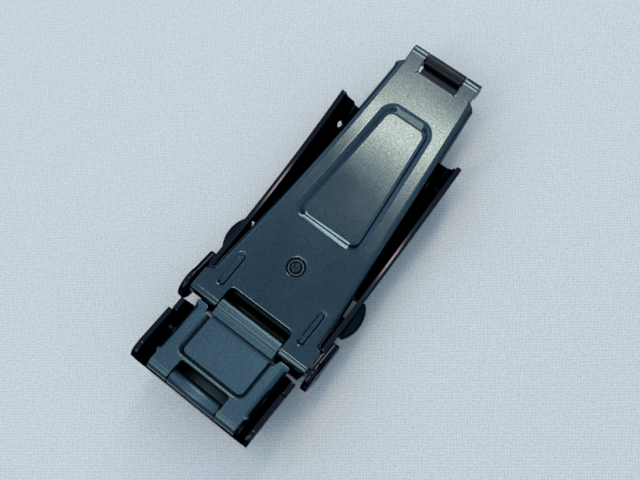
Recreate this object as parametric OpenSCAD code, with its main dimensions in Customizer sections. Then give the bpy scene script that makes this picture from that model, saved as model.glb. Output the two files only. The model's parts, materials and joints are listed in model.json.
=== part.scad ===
// Push-button folding clasp for a metal watch bracelet, closed, skin side up.
// Millimetres. X runs along the clasp to the fold hinge, Z is up, Y is across.
// The origin is under the middle of the clasp, at the lowest point of its outer cover.

/* [Sheet and pins] */
// Thickness of the stamped blades and of the extension plate
sheet_t = 0.6; // [0.5:0.05:0.7]
// Outer radius of every curled hinge knuckle
knuckle_r = 1.0; // [0.9:0.05:1.15]
// Radius of the hinge pins
pin_r = 0.4; // [0.3:0.05:0.5]
// Radial running clearance of a knuckle on its pin
run_gap = 0.03; // [0.02:0.01:0.06]
// Radial clearance of a pin in the knuckle that holds it
seat_gap = 0.01; // [0.01:0.005:0.02]
// Gap between the ends of neighbouring knuckles
end_gap = 0.2; // [0.15:0.05:0.5]

/* [Blades] */
// Distance between the axes at the two ends of a blade
fold_span = 40.6; // [37:0.1:44]
// Radius of the arc on which the blade hinges lie
arc_r = 117; // [105:1:140]
// Width of the inner blade near its wide end
blade_w = 17.0; // [16:0.1:17.2]
// Width of the inner blade at its shoulders by the fold hinge
blade_tip_w = 11.9; // [11:0.1:13.5]
// Width over the inner blade's wide knuckles
wide_lug_w = 17.8; // [17.3:0.1:18]
// Width over the inner blade's knuckles at the fold hinge
tip_lug_w = 10.1; // [9.6:0.1:10.6]
// Length of the wide knuckles with their straight edge
wide_lug_len = 2.4; // [2:0.1:2.8]
// Distance from the fold axis back to the shoulders
shoulder_back = 2.4; // [2.1:0.1:3]
// Depth of the rolled-down edges of the inner blade
edge_d = 1.0; // [0.8:0.05:1.2]
// Depth of the rolled-down edges of the middle blade
under_edge_d = 0.85; // [0.75:0.05:0.95]
// How much narrower the middle blade is on each side
under_inset = 0.3; // [0.2:0.05:0.5]

/* [Slots and barrels] */
// Width of the barrel on the link pin
link_barrel_w = 9.3; // [8.5:0.1:9.9]
// Depth of the slot round that barrel, from the link axis
link_slot_back = 2.5; // [2.2:0.1:3]
// Width of the barrel on the fold pin
fold_barrel_w = 5.5; // [5:0.1:6]
// Depth of the slot round that barrel, from the fold axis
fold_slot_back = 2.1; // [1.7:0.1:2.6]
// Width of the barrel on the extension pin
ext_barrel_w = 7.1; // [6.5:0.1:7.7]
// Width over the extension plate's own knuckles
ext_lug_w = 13.3; // [12.5:0.1:13.8]
// Depth of the slot in the extension plate, from its axis
ext_slot_back = 2.1; // [1.8:0.1:2.4]

/* [Pressed forms] */
// Depth of the pressed forms in the blade
press_d = 0.35; // [0.2:0.05:0.4]
// Distance from the link axis to the near side of the long pressed panel
panel_x = 15.0; // [14:0.1:17]
// Length of the pressed panel
panel_len = 18.2; // [16:0.1:19]
// Width of the panel at its near side
panel_w = 9.6; // [8.5:0.1:10.4]
// Width of the panel at its far side
panel_tip_w = 6.7; // [6:0.1:7.4]
// Width of the sloped wall round the panel
panel_slope = 0.9; // [0.5:0.1:1.2]
// Distance from the link axis to the near end of the short beads
bead_x = 1.7; // [1.6:0.1:2.4]
// Length of a short bead
bead_len = 5.0; // [4:0.1:5.6]
// Width of a short bead
bead_w = 1.05; // [0.8:0.05:1.3]
// Distance between the two short beads
bead_pitch = 12.4; // [12:0.1:13]

/* [Lock stud] */
// Distance from the link axis to the stud
stud_x = 9.1; // [8.9:0.1:9.4]
// Radius of the stud's shank
stud_r = 0.85; // [0.75:0.05:0.95]
// Radius of the stud's groove
stud_neck_r = 0.6; // [0.5:0.05:0.65]
// Radius of the stud's locking head
stud_head_r = 1.1; // [1:0.05:1.2]
// Radius of the ring under the riveted end
stud_ring_r = 1.25; // [1.15:0.05:1.4]
// Height of the stud's head with its cone
head_h = 0.75; // [0.6:0.05:0.9]
// Clearance of the catch plates in the stud's groove, above and below
groove_gap = 0.04; // [0.02:0.01:0.08]
// Side clearance of the window that the stud passes
window_gap = 0.5; // [0.4:0.05:0.7]

/* [Outer cover] */
// Width of the outer cover over its rims
cover_w = 18.5; // [18.3:0.1:19]
// Depth of the cover from rim to outer face, half way along
cover_h = 5.6; // [5.3:0.1:6.2]
// Thickness of the cover and of the box
shell_t = 0.7; // [0.55:0.05:0.75]
// Radius of the cover's rim, seen from the side
rim_r = 100; // [90:1:120]
// Distance from the link axis to the middle of that arc
cover_mid_x = 14.5; // [13.5:0.1:15.5]
// Height of the rim half way along, below the link axis
rim_drop = 1.0; // [0.8:0.05:1.2]
// Distance from the link axis to the cover's open end, at the rim
cover_end = 31.2; // [30:0.1:32]
// Radius of the cover's corners at its open end, seen from above
cover_corner = 1.9; // [1.6:0.1:2.4]
// Distance that the cover's floor runs past the link axis
floor_back = 1.8; // [0.9:0.1:1.9]
// Width of the rounded side of the gutter
side_round = 2.8; // [2.2:0.1:3.2]
// Rise of the crowned floor across the gutter
crown = 0.3; // [0.15:0.05:0.5]
// Radius of the spring bar holes
bar_hole_r = 0.55; // [0.4:0.05:0.65]
// Distance of the cover's spring bar holes from its open end
bar_hole_back = 3.0; // [2.6:0.1:3.4]
// Height of those holes above the cover's floor
bar_hole_up = 1.1; // [1:0.05:1.4]

/* [Ears and cover hinge] */
// Thickness of the hinge ears
ear_t = 0.8; // [0.55:0.05:0.95]
// Radius of the rounded end of an ear
ear_r = 2.3; // [1.9:0.1:2.4]
// Height of that rounded end's middle above the cover hinge axis
ear_up = 1.2; // [0.8:0.1:1.3]
// Height of the cover hinge axis below the link axis
hinge_drop = 2.35; // [2.3:0.05:2.5]
// Distance from the link axis to the root of the ears
ear_root = 4.6; // [4.2:0.1:4.8]
// Length over which an ear lies on the cover's wall
ear_lap = 1.7; // [1.4:0.1:2]
// Width over the middle blade's knuckles on the cover hinge
under_lug_w = 17.6; // [17:0.1:18]
// Width of the opening between those knuckles
under_slot_w = 10.6; // [10:0.1:11.5]

/* [Push buttons] */
// Distance from the link axis to the middle of the buttons
button_x = 8.1; // [8:0.1:8.3]
// Length of a button
button_len = 5.2; // [4.8:0.1:5.3]
// Height of a button
button_h = 2.2; // [1.9:0.1:2.4]
// How far a button stands out from the rim
button_out = 1.1; // [0.9:0.1:1.4]
// Radius of the button's outer face
button_face_r = 4.2; // [3.8:0.1:6]
// Travel of a button
travel = 0.75; // [0.6:0.05:0.8]
// Clearance round a button in its slot
slot_gap = 0.1; // [0.06:0.02:0.16]
// Thickness of the catch plates
catch_t = 0.5; // [0.4:0.05:0.55]
// Width of a catch arm
arm_w = 1.1; // [0.9:0.05:1.2]

/* [Latch bridge and springs] */
// Thickness of the bridge over the catch plates
bridge_t = 0.4; // [0.3:0.05:0.45]
// Gap between the middle blade's edges and the bridge
bridge_gap = 0.15; // [0.1:0.05:0.3]
// Length of the bridge along the clasp
bridge_len = 7.8; // [7.6:0.1:8.2]
// Width of the bridge
bridge_w = 12.6; // [11.6:0.1:12.8]
// Outer radius of a return spring
spring_r = 0.6; // [0.5:0.05:0.65]
// Radius of the spring wire
wire_r = 0.11; // [0.08:0.01:0.13]
// Turns of a return spring
spring_turns = 6; // [4:1:8]

/* [Extension plate and box] */
// Distance along the clasp from the link axis to the extension axis
ext_run = 10.2; // [9.8:0.1:10.8]
// Height of the extension axis above the link axis
ext_rise = 1.8; // [1.4:0.1:2.2]
// Width of the extension plate
plate_w = 14.2; // [13.9:0.1:14.8]
// Depth of the pressed field in the extension plate
field_d = 0.6; // [0.5:0.05:0.7]
// Width of that field
field_w = 10.0; // [9.9:0.1:10.4]
// Distance from the extension axis to the field
field_x = 2.5; // [2.4:0.1:3.2]
// Depth of the extension plate's rolled-down edges
plate_edge_d = 0.9; // [0.75:0.05:1.1]
// Width of the box over its rims
box_w = 17.9; // [17.4:0.1:18.1]
// Depth of the box from rim to outer face
box_h = 7.3; // [6.9:0.1:7.5]
// Distance from the link axis to the box's near end
box_near = 2.2; // [2:0.1:2.5]
// Distance from the link axis to the far end of the box's floor
box_far = 12.05; // [11.85:0.05:12.3]
// How much further out the floor ends than the walls
box_lean = 0.45; // [0.3:0.05:0.6]
// Radius of the walls' rounded end, seen from the side
box_end_r = 2.4; // [2:0.1:2.8]
// Radius of the box's far corners, seen from above
box_corner = 2.2; // [1.8:0.1:2.5]
// Distance from the link axis to the step in the box's rims
box_step_x = 4.2; // [3.8:0.1:4.6]
// Height of that step
box_step_h = 1.2; // [0.9:0.1:1.4]
// Distance from the link axis to the box's spring bar holes
box_hole_x = 5.9; // [5.6:0.1:6.3]
// Depth of those holes below the rim
box_hole_down = 3.3; // [3:0.1:3.6]
// Thickness of the box tongue
tongue_t = 0.6; // [0.5:0.05:0.65]
// Length of the tongue's foot on the box floor
tongue_len = 3.2; // [2.6:0.1:3.8]

/* [Hidden] */
$fn = 48;
big_fn = 720;
eps = 0.01;
reach = 40;
arc_x = fold_span / 2;
arc_z = sqrt(arc_r * arc_r - arc_x * arc_x);
top_r = arc_r - knuckle_r;
under_r = arc_r + knuckle_r - sheet_t;
cover_z = rim_r - rim_drop;
shell_r = rim_r + cover_h;
lift = cover_h + rim_drop;
tip_x = fold_span + knuckle_r;
mid_x = (tip_x - box_far) / 2;
shoulder_x = fold_span - shoulder_back;
edge_x = wide_lug_len + 0.8;
ear_in = cover_w / 2 + seat_gap * 2;
ear_z = -hinge_drop + ear_up;
notch_z = -hinge_drop - knuckle_r - 0.5;
flat_top = -hinge_drop + knuckle_r - 0.02;
bore_r = pin_r + run_gap;
seat_r = pin_r + seat_gap;

function arc_at(r, x) = arc_z - sqrt(r * r - (x - arc_x) * (x - arc_x));
function shell_at(r, x) = cover_z - sqrt(r * r - (x - cover_mid_x) * (x - cover_mid_x));
function lerp(a, b, k) = a + (b - a) * k;
function blade_half(x) = lerp(blade_w / 2, blade_tip_w / 2, (x - edge_x) / (shoulder_x - edge_x));
function under_half(x) = blade_half(x) - under_inset;

stud_top = arc_at(top_r, stud_x);
catch_top = arc_at(under_r, stud_x + bridge_len / 2) - under_edge_d - bridge_gap - bridge_t - 0.05;
bridge_top = catch_top + bridge_t + 0.05;
bridge_x = stud_x - 0.1;
flat_end = arc_x - sqrt(under_r * under_r - (arc_z - flat_top) * (arc_z - flat_top));
button_z = catch_top - catch_t / 2 + 0.55;
hook_y = stud_neck_r + 0.15;
hook_w = travel + 0.5;
base_y = 6.6;
catch_back = stud_x - 2.6;
button_end = stud_x + 1.2;
cap_root = cover_w / 2 - 0.35;
post_y = 3.3;
bar_z = shell_at(shell_r - shell_t, cover_end - bar_hole_back) + bar_hole_up;
box_rim_r = shell_r - box_h;
box_hole_z = shell_at(box_rim_r, -box_hole_x) - box_hole_down;
ext_len = sqrt(ext_run * ext_run + ext_rise * ext_rise);
link_up = knuckle_r - field_d - sheet_t + knuckle_r;
plate_slope = atan(ext_rise / ext_run) + asin(link_up / ext_len);
link_x = sqrt(ext_len * ext_len - link_up * link_up);
horn_x = link_x - sqrt((knuckle_r + 0.25) * (knuckle_r + 0.25) - pow(link_up - knuckle_r + sheet_t, 2));

// Moves a piece from the link axis to the frame of the part.
module place() translate([-mid_x, 0, lift]) children();

// Shell between two radii about the blade arc.
module blade_band(inner, outer) {
    translate([arc_x, 0, arc_z]) rotate([90, 0, 0]) difference() {
        cylinder(r = outer, h = 30, center = true, $fn = big_fn);
        cylinder(r = inner, h = 31, center = true, $fn = big_fn);
    }
}

// Upright prism from a plan outline.
module plan(points) translate([0, 0, -9]) linear_extrude(14) polygon(points);

// Prism across the clasp from a side outline.
module side(points, w) rotate([90, 0, 0]) linear_extrude(w, center = true) polygon(points);

// Round bar across the clasp.
module across(x, z, r, w) translate([x, 0, z]) rotate([90, 0, 0]) cylinder(r = r, h = w, center = true);

module block(x1, x2, y1, y2, z1, z2) translate([x1, y1, z1]) cube([x2 - x1, y2 - y1, z2 - z1]);

module both() {
    children();
    mirror([0, 1, 0]) children();
}

// Outline with its corners rounded, from rows of x, y and radius.
function corner(a, b, c, n) =
    let (u = [a[0] - b[0], a[1] - b[1]], v = [c[0] - b[0], c[1] - b[1]],
         un = u / norm(u), vn = v / norm(v), half = acos(un * vn) / 2,
         cut = b[2] / tan(half), mid = (un + vn) / norm(un + vn) * b[2] / sin(half),
         m = [b[0] + mid[0], b[1] + mid[1]], p = [b[0], b[1]] + un * cut - m, q = [b[0], b[1]] + vn * cut - m,
         a0 = atan2(p[1], p[0]), d0 = atan2(q[1], q[0]) - a0,
         d = d0 > 180 ? d0 - 360 : d0 < -180 ? d0 + 360 : d0)
    [for (i = [0:n]) m + b[2] * [cos(a0 + d * i / n), sin(a0 + d * i / n)]];
function rounded(rows, n = 4) = let (k = len(rows))
    [for (i = [0:k - 1]) each (rows[i][2] == 0 ? [[rows[i][0], rows[i][1]]]
        : corner(rows[(i + k - 1) % k], rows[i], rows[(i + 1) % k], n))];

// Plan of a blade, narrowed by an inset.
function blade_rows(inset, lug, x0) = [
    [x0, lug / 2, 0], [wide_lug_len, lug / 2, 0], [edge_x, blade_half(edge_x) - inset, 0],
    [shoulder_x, blade_half(shoulder_x) - inset, 0.7], [shoulder_x + 0.5, tip_lug_w / 2, 0],
    [fold_span, tip_lug_w / 2, 0], [fold_span, -tip_lug_w / 2, 0], [shoulder_x + 0.5, -tip_lug_w / 2, 0],
    [shoulder_x, -blade_half(shoulder_x) + inset, 0.7], [edge_x, -blade_half(edge_x) + inset, 0],
    [wide_lug_len, -lug / 2, 0], [x0, -lug / 2, 0]];
function edge_rows(inset, wall, x0) = rounded([
    [x0, blade_half(x0) - inset, 0], [shoulder_x, blade_half(shoulder_x) - inset, 0.4],
    [shoulder_x, blade_half(shoulder_x) - inset - wall, 0], [x0, blade_half(x0) - inset - wall, 0]]);
function panel_rows(grow) = rounded([
    [panel_x - grow, panel_w / 2 + grow, 1.3 + grow], [panel_x + panel_len + grow, panel_tip_w / 2 + grow, 1.3 + grow],
    [panel_x + panel_len + grow, -panel_tip_w / 2 - grow, 1.3 + grow], [panel_x - grow, -panel_w / 2 - grow, 1.3 + grow]]);

// Sloped body of the pressed panel, grown outwards for the underside.
module panel_body(grow) {
    z = arc_at(top_r, arc_x + 4);
    hull() {
        translate([0, 0, z + 0.7]) linear_extrude(eps) polygon(panel_rows(grow + panel_slope * 0.7));
        translate([0, 0, z - press_d * 1.6]) linear_extrude(eps) polygon(panel_rows(grow - panel_slope * 0.8));
    }
}

module bead_body(grow) {
    both() translate([0, bead_pitch / 2, -3]) linear_extrude(5) {
        translate([bead_x + bead_w / 2, 0]) circle(r = bead_w / 2 + grow);
        translate([bead_x + bead_len - bead_w / 2, 0]) circle(r = bead_w / 2 + grow);
        translate([bead_x + bead_w / 2, -bead_w / 2 - grow]) square([bead_len - bead_w, bead_w + 2 * grow]);
    }
}

module inner_blade() color([0.24, 0.31, 0.34]) place() difference() {
    union() {
        intersection() {
            blade_band(top_r, top_r + sheet_t);
            plan(rounded(blade_rows(0, wide_lug_w, 0)));
        }
        intersection() {
            blade_band(top_r, top_r + edge_d);
            both() plan(edge_rows(0, sheet_t, edge_x));
        }
        intersection() {
            blade_band(top_r + sheet_t - 0.2, top_r + sheet_t + press_d);
            panel_body(sheet_t * 0.4);
        }
        intersection() {
            blade_band(top_r + sheet_t - 0.2, top_r + sheet_t + press_d);
            bead_body(sheet_t * 0.4);
        }
        across(0, 0, knuckle_r, wide_lug_w);
        across(fold_span, 0, knuckle_r, tip_lug_w);
    }
    intersection() {
        blade_band(top_r - 2, top_r + press_d);
        panel_body(0);
    }
    intersection() {
        blade_band(top_r - 2, top_r + press_d);
        bead_body(0);
    }
    plan(rounded([[-2, link_barrel_w / 2 + end_gap, 0], [link_slot_back, link_barrel_w / 2 + end_gap, 0.7],
        [link_slot_back, -link_barrel_w / 2 - end_gap, 0.7], [-2, -link_barrel_w / 2 - end_gap, 0]]));
    plan(rounded([[fold_span + 2, fold_barrel_w / 2 + end_gap, 0],
        [fold_span - fold_slot_back, fold_barrel_w / 2 + end_gap, 0.5],
        [fold_span - fold_slot_back, -fold_barrel_w / 2 - end_gap, 0.5],
        [fold_span + 2, -fold_barrel_w / 2 - end_gap, 0]]));
    across(0, 0, seat_r, 30);
    across(fold_span, 0, seat_r, 30);
    translate([stud_x, 0, -4]) cylinder(r = stud_r + seat_gap, h = 6);
    translate([stud_x, 0, stud_top - 0.15]) cylinder(r = stud_ring_r + seat_gap, h = 2);
}

// Straight near end of the middle blade, seen from the side, running into its arc.
module flat_side(d) side([[0, flat_top - d], [0, flat_top], [flat_end - 0.1, flat_top],
    [flat_end + 0.4, flat_top - 0.25], [flat_end + 0.4, flat_top - d]], 30);

// Plan of the middle blade's straight end; the arc stands a hair proud of it at each side.
function flat_rows(inset) = let (far = flat_end + 1)
    [[edge_x, under_half(edge_x) - inset], [far, under_half(far) - inset], [far, -under_half(far) + inset],
    [edge_x, -under_half(edge_x) + inset]];

module middle_blade() color([0.2, 0.27, 0.3]) place() difference() {
    union() {
        difference() {
            intersection() {
                blade_band(under_r, under_r + under_edge_d);
                plan(rounded([[flat_end - 0.3, under_half(flat_end - 0.3), 0],
                    [shoulder_x, under_half(shoulder_x), 0.9], [shoulder_x, fold_barrel_w / 2, 0],
                    [fold_span, fold_barrel_w / 2, 0], [fold_span, -fold_barrel_w / 2, 0],
                    [shoulder_x, -fold_barrel_w / 2, 0], [shoulder_x, -under_half(shoulder_x), 0.9],
                    [flat_end - 0.3, -under_half(flat_end - 0.3), 0]]));
            }
            intersection() {
                blade_band(under_r + sheet_t, under_r + 3);
                plan([[flat_end - 1, under_half(flat_end - 1) - sheet_t],
                    [fold_span + 2, under_half(fold_span + 2) - sheet_t],
                    [fold_span + 2, -under_half(fold_span + 2) + sheet_t],
                    [flat_end - 1, -under_half(flat_end - 1) + sheet_t]]);
            }
        }
        difference() {
            intersection() {
                flat_side(under_edge_d);
                plan(flat_rows(0.02));
            }
            intersection() {
                block(-1, flat_end + 1, -20, 20, -20, flat_top - sheet_t);
                plan(flat_rows(0.02 + sheet_t));
            }
        }
        intersection() {
            block(0, edge_x + 0.5, -20, 20, flat_top - sheet_t, flat_top);
            plan([[0, under_lug_w / 2], [wide_lug_len - 0.4, under_lug_w / 2],
                [edge_x - 0.5, under_half(edge_x) - 0.02], [edge_x, under_half(edge_x) - 0.02],
                [edge_x + 0.5, 4], [edge_x + 0.5, -4], [edge_x, -under_half(edge_x) + 0.02],
                [edge_x - 0.5, -under_half(edge_x) + 0.02], [wide_lug_len - 0.4, -under_lug_w / 2],
                [0, -under_lug_w / 2]]);
        }
        across(0, -hinge_drop, knuckle_r, under_lug_w);
        across(fold_span, 0, knuckle_r, fold_barrel_w);
    }
    plan(rounded([[-2, under_slot_w / 2, 0], [wide_lug_len - 0.3, under_slot_w / 2, 0.7],
        [wide_lug_len - 0.3, -under_slot_w / 2, 0.7], [-2, -under_slot_w / 2, 0]]));
    across(0, -hinge_drop, bore_r, 30);
    across(fold_span, 0, bore_r, 30);
    translate([stud_x, 0, -5]) linear_extrude(5) {
        translate([-window_gap / 2, 0]) circle(r = stud_head_r + window_gap);
        translate([window_gap / 2, 0]) circle(r = stud_head_r + window_gap);
        square([window_gap, 2 * (stud_head_r + window_gap)], center = true);
    }
}

module fold_pin() color([0.16, 0.17, 0.19]) place() across(fold_span, 0, pin_r, tip_lug_w - 0.1);

module link_pin() color([0.16, 0.17, 0.19]) place() across(0, 0, pin_r, wide_lug_w - 0.1);

// Turned stud: shank, groove for the hooks, and a head with a lead-in cone.
module lock_stud() color([0.2, 0.22, 0.24]) place() translate([stud_x, 0, 0]) rotate_extrude() {
    groove = catch_top - catch_t - groove_gap;
    polygon([[0, stud_top + 0.1], [stud_r, stud_top + 0.1], [stud_r, catch_top + groove_gap],
        [stud_neck_r, catch_top + groove_gap], [stud_neck_r, groove], [stud_head_r, groove],
        [stud_head_r, groove - head_h / 2], [stud_neck_r, groove - head_h], [0, groove - head_h]]);
}

module stud_ring() color([0.3, 0.34, 0.37]) place() translate([stud_x, 0, stud_top - 0.14]) difference() {
    cylinder(r = stud_ring_r, h = 0.22);
    translate([0, 0, -1]) cylinder(r = stud_r + seat_gap, h = 3);
}

// Half outline of a gutter: half width against depth below the rim.
function gutter_side(half, depth, t) = [for (i = [0:7])
    let (a = i * 90 / 7) [half - t - (side_round - t) * (1 - cos(a)), (depth - crown - t) * sin(a)]];
function gutter_floor(half, depth, t) = [for (k = [0.67, 0.33, 0])
    [(half - side_round) * k, depth - t - crown * k * k]];
function gutter_half(half, depth, t) = concat(gutter_side(half, depth, t), gutter_floor(half, depth, t));

// Gutter swept about the cover's arc, from one side angle to the other.
module gutter(r, half, depth, t, x1, x2, grow = 0) {
    outer = gutter_half(half + grow, depth + grow, 0);
    inner = gutter_half(half + grow, depth + grow, t);
    a1 = asin((cover_mid_x - x1) / r);
    a2 = asin((x2 - cover_mid_x) / r);
    n = len(outer);
    pts = concat([for (i = [0:n - 1]) [r + outer[i][1], outer[i][0]]],
        [for (i = [n - 2:-1:0]) [r + outer[i][1], -outer[i][0]]],
        [for (i = [0:n - 1]) [r + inner[i][1], -inner[i][0]]],
        [for (i = [n - 2:-1:0]) [r + inner[i][1], inner[i][0]]]);
    translate([cover_mid_x, 0, cover_z]) rotate([90, 0, 0]) rotate([0, 0, -90 - a1])
        rotate_extrude(angle = a1 + a2, $fn = big_fn) polygon(pts);
}

module cover_shell() color([0.1, 0.11, 0.14]) place() difference() {
    intersection() {
        gutter(rim_r, cover_w / 2, cover_h, shell_t, -floor_back - 3, cover_end + 3);
        side(rounded([[-floor_back, -12, 0], [-floor_back, notch_z, 0],
            [ear_root - ear_lap, notch_z, 0.8], [ear_root - ear_lap, 6, 0],
            [cover_end - 0.7, 6, 0], [cover_end + 1.1, -12, 0]]), 40);
        plan(rounded([[-reach, cover_w / 2 + 0.05, 0], [cover_end + 0.6, cover_w / 2 + 0.05, cover_corner],
            [cover_end + 0.6, -cover_w / 2 - 0.05, cover_corner], [-reach, -cover_w / 2 - 0.05, 0]], 6));
    }
    both() block(button_x - button_len / 2 - slot_gap, button_x + button_len / 2 + slot_gap, 5, 12,
        button_z - button_h / 2 - slot_gap, button_z + button_h / 2 + slot_gap);
    across(cover_end - bar_hole_back, bar_z, bar_hole_r, 30);
}

module ear() difference() {
    union() {
        across(0, ear_z, ear_r, 2 * (ear_in + ear_t));
        side(rounded([[-0.2, ear_z + ear_r - 0.06, 0], [ear_root, shell_at(rim_r, ear_root) - 0.1, 0.5],
            [ear_root, -hinge_drop - 0.9, 0.8], [-0.2, ear_z - ear_r + 0.06, 0]]), 2 * (ear_in + ear_t));
    }
    block(-5, 8, -12, ear_in, -8, 3);
    across(0, -hinge_drop, seat_r, 30);
}

module left_ear() color([0.12, 0.13, 0.16]) place() ear();

module right_ear() color([0.12, 0.13, 0.16]) place() mirror([0, 1, 0]) ear();

module cover_hinge_pin() color([0.16, 0.17, 0.19]) place()
    across(0, -hinge_drop, pin_r, 2 * (ear_in + ear_t) - 0.1);

module latch_bridge() color([0.3, 0.3, 0.32]) place() difference() {
    union() {
        block(bridge_x - bridge_len / 2, bridge_x + bridge_len / 2, -bridge_w / 2, bridge_w / 2,
            bridge_top - bridge_t, bridge_top);
        intersection() {
            union() {
                block(bridge_x - bridge_len / 2, bridge_x - bridge_len / 2 + bridge_t, -bridge_w / 2 + 1.3,
                    bridge_w / 2 - 1.3, -8, bridge_top);
                block(bridge_x + bridge_len / 2 - bridge_t, bridge_x + bridge_len / 2, -bridge_w / 2 + 1.3,
                    bridge_w / 2 - 1.3, -8, bridge_top);
            }
            translate([cover_mid_x, 0, cover_z]) rotate([90, 0, 0])
                cylinder(r = shell_r - shell_t - crown - 0.02, h = 30, center = true, $fn = big_fn);
        }
        for (s = [1, -1]) block(stud_x + s * 1.25 - 0.85, stud_x + s * 1.25 + 0.85,
            s > 0 ? post_y - 0.4 : -post_y, s > 0 ? post_y : -post_y + 0.4,
            catch_top - 2 * spring_r - 0.1, bridge_top);
    }
    translate([stud_x, 0, -8]) cylinder(r = stud_head_r + window_gap * 0.7, h = 9);
}

// Catch plate of the left button; the right one is turned half round the stud.
module catch_plate() {
    translate([0, 0, catch_top - catch_t]) linear_extrude(catch_t) {
        polygon([[catch_back, -hook_y - hook_w], [stud_x + 1.0, -hook_y - hook_w], [stud_x + 1.0, -hook_y],
            [catch_back + arm_w, -hook_y], [catch_back + arm_w, base_y], [stud_x + 1.9, base_y],
            [stud_x + 1.9, base_y + 0.7], [button_end, base_y + 0.7], [button_end, cap_root + 0.5],
            [catch_back, cap_root + 0.5]]);
    }
    block(stud_x + 0.3, stud_x + 1.9, base_y, base_y + 0.5, catch_top - 2 * spring_r - 0.1, catch_top);
}
// Head of a button, slotted for its catch plate between two places along the clasp.
module cap(x1, x2) difference() {
    intersection() {
        translate([button_x, cover_w / 2 + button_out - button_face_r, button_z - button_h / 2])
            cylinder(r = button_face_r, h = button_h);
        block(button_x - button_len / 2, button_x + button_len / 2, cap_root, reach, -reach, 0);
    }
    block(x1, x2, cap_root - 1, cap_root + 0.52, catch_top - catch_t - 0.02, catch_top + 0.02);
}

module left_button() color([0.15, 0.3, 0.36]) place() cap(catch_back - 0.02, button_end + 0.02);

module left_catch() color([0.4, 0.4, 0.42]) place() catch_plate();

module right_button() color([0.15, 0.3, 0.36]) place() mirror([0, 1, 0])
    cap(2 * stud_x - button_end - 0.02, button_x + button_len / 2 - 0.28);

module right_catch() color([0.4, 0.4, 0.42]) place() difference() {
    translate([2 * stud_x, 0, 0]) rotate([0, 0, 180]) catch_plate();
    block(button_x + button_len / 2 - 0.3, reach, -reach, -base_y - 0.7, -reach, 0);
}

// Coil of one return spring along Y, from the post to the catch plate.
module coil() {
    y1 = post_y + 0.05 + wire_r;
    y2 = base_y - 0.05 - wire_r;
    r = spring_r - wire_r;
    n = 10 * spring_turns;
    rings = [for (i = [0:n]) let (a = i * 36)
        [for (k = [0:5]) let (b = k * 60, q = r + wire_r * cos(b))
            [q * cos(a), lerp(y1, y2, i / n) + wire_r * sin(b), q * sin(a)]]];
    pts = [for (ring = rings) each ring];
    faces = concat([[for (k = [0:5]) k]], [[for (k = [5:-1:0]) n * 6 + k]],
        [for (i = [0:n - 1]) for (k = [0:5]) let (a = i * 6 + k, b = i * 6 + (k + 1) % 6) [a, a + 6, b + 6]],
        [for (i = [0:n - 1]) for (k = [0:5]) let (a = i * 6 + k, b = i * 6 + (k + 1) % 6) [a, b + 6, b]]);
    translate([stud_x + 1.1, 0, catch_top - spring_r - 0.1]) polyhedron(pts, faces);
}

module left_spring() color([0.6, 0.6, 0.62]) place() coil();

module right_spring() color([0.6, 0.6, 0.62]) place() translate([2 * stud_x, 0, 0]) rotate([0, 0, 180]) coil();

// The extension plate is drawn flat, with its far axis at the origin, and then turned.
module plate_frame() translate([-ext_run, 0, ext_rise]) rotate([0, plate_slope, 0]) children();

module extension_plate() color([0.3, 0.4, 0.46]) place() plate_frame() difference() {
    top = knuckle_r;
    low = top - field_d;
    neck = link_x - 2.2;
    union() {
        translate([0, 0, top - sheet_t]) linear_extrude(sheet_t) polygon(rounded([
            [0, ext_lug_w / 2, 0], [0.9, ext_lug_w / 2, 0], [1.3, plate_w / 2, 0.3], [horn_x, plate_w / 2, 0.6],
            [horn_x, field_w / 2 + 0.5, 0.4], [neck, field_w / 2 + 0.5, 0], [neck, -field_w / 2 - 0.5, 0],
            [horn_x, -field_w / 2 - 0.5, 0.4], [horn_x, -plate_w / 2, 0.6], [1.3, -plate_w / 2, 0.3],
            [0.9, -ext_lug_w / 2, 0], [0, -ext_lug_w / 2, 0]]));
        both() block(1.5, horn_x - 0.5, plate_w / 2 - sheet_t, plate_w / 2, top - plate_edge_d, top - 0.1);
        hull() {
            translate([0, 0, top - sheet_t]) linear_extrude(eps) polygon(field_rows(0.45, neck));
            translate([0, 0, low - sheet_t]) linear_extrude(eps) polygon(field_rows(-0.1, neck));
        }
        block(neck - 0.5, link_x, -link_barrel_w / 2, link_barrel_w / 2, low - sheet_t, low);
        block(link_x - 1.7, link_x, -link_barrel_w / 2, link_barrel_w / 2,
            link_up + knuckle_r - sheet_t, link_up + knuckle_r);
        translate([link_x, 0, link_up]) rotate([90, 0, 0]) cylinder(r = knuckle_r, h = link_barrel_w, center = true);
        rotate([90, 0, 0]) cylinder(r = knuckle_r, h = ext_lug_w, center = true);
    }
    hull() {
        translate([0, 0, top + eps]) linear_extrude(eps) polygon(field_rows(0, neck + 0.6));
        translate([0, 0, low]) linear_extrude(eps) polygon(field_rows(-0.55, neck + 0.6));
    }
    translate([0, 0, -3]) linear_extrude(6) polygon(rounded([[-2, ext_barrel_w / 2 + end_gap, 0],
        [ext_slot_back, ext_barrel_w / 2 + end_gap, 0.4], [ext_slot_back, -ext_barrel_w / 2 - end_gap, 0.4],
        [-2, -ext_barrel_w / 2 - end_gap, 0]]));
    rotate([90, 0, 0]) cylinder(r = seat_r, h = 30, center = true);
    translate([link_x, 0, link_up]) rotate([90, 0, 0]) cylinder(r = bore_r, h = 30, center = true);
}

function field_rows(grow, far) = rounded([
    [field_x - grow, field_w / 2 + grow, 1], [far, field_w / 2 + grow, 0],
    [far, -field_w / 2 - grow, 0], [field_x - grow, -field_w / 2 - grow, 1]]);

module extension_pin() color([0.16, 0.17, 0.19]) place() across(-ext_run, ext_rise, pin_r, ext_lug_w - 0.1);

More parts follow.
